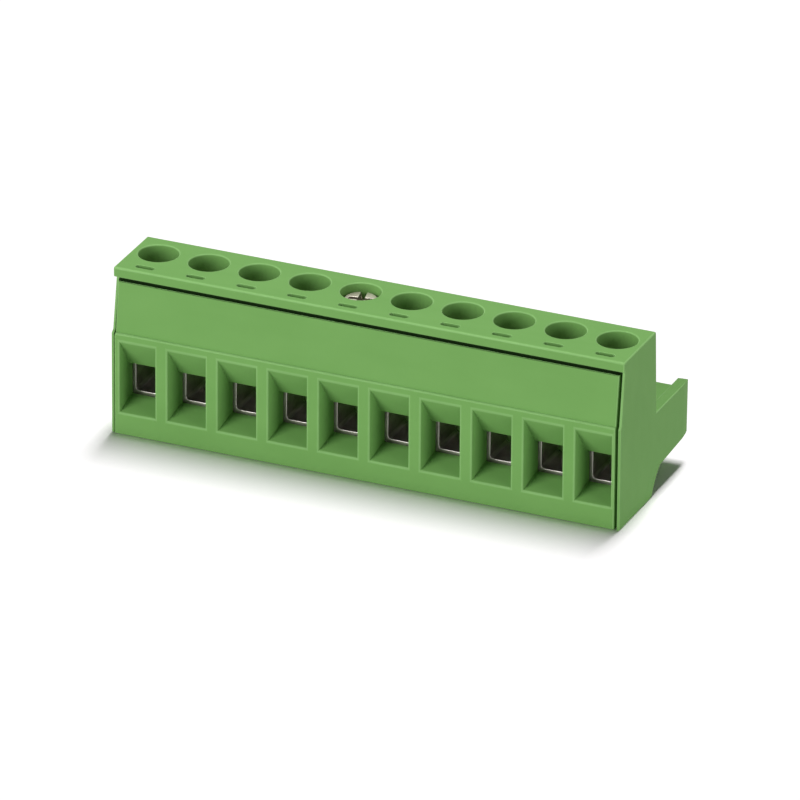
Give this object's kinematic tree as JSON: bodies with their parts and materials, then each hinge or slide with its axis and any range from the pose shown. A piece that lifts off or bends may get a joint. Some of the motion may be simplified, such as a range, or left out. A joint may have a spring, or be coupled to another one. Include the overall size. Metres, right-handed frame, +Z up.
{
  "type": "pluggable terminal block",
  "caption": "Long green plug with a row of screw clamps: wires enter funnels in its front and are held by cages that rise as the screws turn; its back plugs onto header pins.",
  "frame": {"origin": "centre of the box that holds the plug, at its flat underside", "axes": "+X along the row of poles from the first to the last, +Y towards the header, +Z up to the screw heads"},
  "size_m": [0.0508, 0.0164, 0.0166],
  "materials": {
    "green_polyamide": "satin moulded green polyamide",
    "zinc_plated_steel": "zinc plated, lightly turned",
    "nickel_plated_steel": "nickel plated bent sheet",
    "tin_plated_copper_alloy": "matt tin plated"
  },
  "bodies": {
    "housing_body": {"housing": "green_polyamide", "entry_cover": "green_polyamide", "contact_01": "tin_plated_copper_alloy", "contact_02": "tin_plated_copper_alloy", "contact_03": "tin_plated_copper_alloy", "contact_04": "tin_plated_copper_alloy", "contact_05": "tin_plated_copper_alloy", "contact_06": "tin_plated_copper_alloy", "contact_07": "tin_plated_copper_alloy", "contact_08": "tin_plated_copper_alloy", "contact_09": "tin_plated_copper_alloy", "contact_10": "tin_plated_copper_alloy"},
    "screw_01": {"clamp_screw_01": "zinc_plated_steel"},
    "cage_01": {"clamp_cage_01": "nickel_plated_steel"},
    "screw_02": {"clamp_screw_02": "zinc_plated_steel"},
    "cage_02": {"clamp_cage_02": "nickel_plated_steel"},
    "screw_03": {"clamp_screw_03": "zinc_plated_steel"},
    "cage_03": {"clamp_cage_03": "nickel_plated_steel"},
    "screw_04": {"clamp_screw_04": "zinc_plated_steel"},
    "cage_04": {"clamp_cage_04": "nickel_plated_steel"},
    "screw_05": {"clamp_screw_05": "zinc_plated_steel"},
    "cage_05": {"clamp_cage_05": "nickel_plated_steel"},
    "screw_06": {"clamp_screw_06": "zinc_plated_steel"},
    "cage_06": {"clamp_cage_06": "nickel_plated_steel"},
    "screw_07": {"clamp_screw_07": "zinc_plated_steel"},
    "cage_07": {"clamp_cage_07": "nickel_plated_steel"},
    "screw_08": {"clamp_screw_08": "zinc_plated_steel"},
    "cage_08": {"clamp_cage_08": "nickel_plated_steel"},
    "screw_09": {"clamp_screw_09": "zinc_plated_steel"},
    "cage_09": {"clamp_cage_09": "nickel_plated_steel"},
    "screw_10": {"clamp_screw_10": "zinc_plated_steel"},
    "cage_10": {"clamp_cage_10": "nickel_plated_steel"}
  },
  "joints": [
    {"name": "screw_turn_01", "type": "hinge", "parent": "housing_body", "child": "screw_01", "pos_m": [-0.02286, -0.00313, 0.0133], "axis": [0, 0, -1], "range_deg": [0, 2161]},
    {"name": "cage_rise_01", "type": "slide", "parent": "housing_body", "child": "cage_01", "axis": [0, 0, 1], "range_m": [0, 0.0027]},
    {"name": "screw_turn_02", "type": "hinge", "parent": "housing_body", "child": "screw_02", "pos_m": [-0.01778, -0.00313, 0.0133], "axis": [0, 0, -1], "range_deg": [0, 2161]},
    {"name": "cage_rise_02", "type": "slide", "parent": "housing_body", "child": "cage_02", "axis": [0, 0, 1], "range_m": [0, 0.0027]},
    {"name": "screw_turn_03", "type": "hinge", "parent": "housing_body", "child": "screw_03", "pos_m": [-0.0127, -0.00313, 0.0133], "axis": [0, 0, -1], "range_deg": [0, 2161]},
    {"name": "cage_rise_03", "type": "slide", "parent": "housing_body", "child": "cage_03", "axis": [0, 0, 1], "range_m": [0, 0.0027]},
    {"name": "screw_turn_04", "type": "hinge", "parent": "housing_body", "child": "screw_04", "pos_m": [-0.00762, -0.00313, 0.0133], "axis": [0, 0, -1], "range_deg": [0, 2161]},
    {"name": "cage_rise_04", "type": "slide", "parent": "housing_body", "child": "cage_04", "axis": [0, 0, 1], "range_m": [0, 0.0027]},
    {"name": "screw_turn_05", "type": "hinge", "parent": "housing_body", "child": "screw_05", "pos_m": [-0.00254, -0.00313, 0.0133], "axis": [0, 0, -1], "range_deg": [0, 2161]},
    {"name": "cage_rise_05", "type": "slide", "parent": "housing_body", "child": "cage_05", "axis": [0, 0, 1], "range_m": [0, 0.0027]},
    {"name": "screw_turn_06", "type": "hinge", "parent": "housing_body", "child": "screw_06", "pos_m": [0.00254, -0.00313, 0.0133], "axis": [0, 0, -1], "range_deg": [0, 2161]},
    {"name": "cage_rise_06", "type": "slide", "parent": "housing_body", "child": "cage_06", "axis": [0, 0, 1], "range_m": [0, 0.0027]},
    {"name": "screw_turn_07", "type": "hinge", "parent": "housing_body", "child": "screw_07", "pos_m": [0.00762, -0.00313, 0.0133], "axis": [0, 0, -1], "range_deg": [0, 2161]},
    {"name": "cage_rise_07", "type": "slide", "parent": "housing_body", "child": "cage_07", "axis": [0, 0, 1], "range_m": [0, 0.0027]},
    {"name": "screw_turn_08", "type": "hinge", "parent": "housing_body", "child": "screw_08", "pos_m": [0.0127, -0.00313, 0.0133], "axis": [0, 0, -1], "range_deg": [0, 2161]},
    {"name": "cage_rise_08", "type": "slide", "parent": "housing_body", "child": "cage_08", "axis": [0, 0, 1], "range_m": [0, 0.0027]},
    {"name": "screw_turn_09", "type": "hinge", "parent": "housing_body", "child": "screw_09", "pos_m": [0.01778, -0.00313, 0.0133], "axis": [0, 0, -1], "range_deg": [0, 2161]},
    {"name": "cage_rise_09", "type": "slide", "parent": "housing_body", "child": "cage_09", "axis": [0, 0, 1], "range_m": [0, 0.0027]},
    {"name": "screw_turn_10", "type": "hinge", "parent": "housing_body", "child": "screw_10", "pos_m": [0.02286, -0.00313, 0.0133], "axis": [0, 0, -1], "range_deg": [0, 2161]},
    {"name": "cage_rise_10", "type": "slide", "parent": "housing_body", "child": "cage_10", "axis": [0, 0, 1], "range_m": [0, 0.0027]}
  ],
  "couplings": [
    {"joint": "screw_turn_01", "follows": "cage_rise_01", "rad_per_m": 13963},
    {"joint": "screw_turn_02", "follows": "cage_rise_02", "rad_per_m": 13963},
    {"joint": "screw_turn_03", "follows": "cage_rise_03", "rad_per_m": 13963},
    {"joint": "screw_turn_04", "follows": "cage_rise_04", "rad_per_m": 13963},
    {"joint": "screw_turn_05", "follows": "cage_rise_05", "rad_per_m": 13963},
    {"joint": "screw_turn_06", "follows": "cage_rise_06", "rad_per_m": 13963},
    {"joint": "screw_turn_07", "follows": "cage_rise_07", "rad_per_m": 13963},
    {"joint": "screw_turn_08", "follows": "cage_rise_08", "rad_per_m": 13963},
    {"joint": "screw_turn_09", "follows": "cage_rise_09", "rad_per_m": 13963},
    {"joint": "screw_turn_10", "follows": "cage_rise_10", "rad_per_m": 13963}
  ]
}
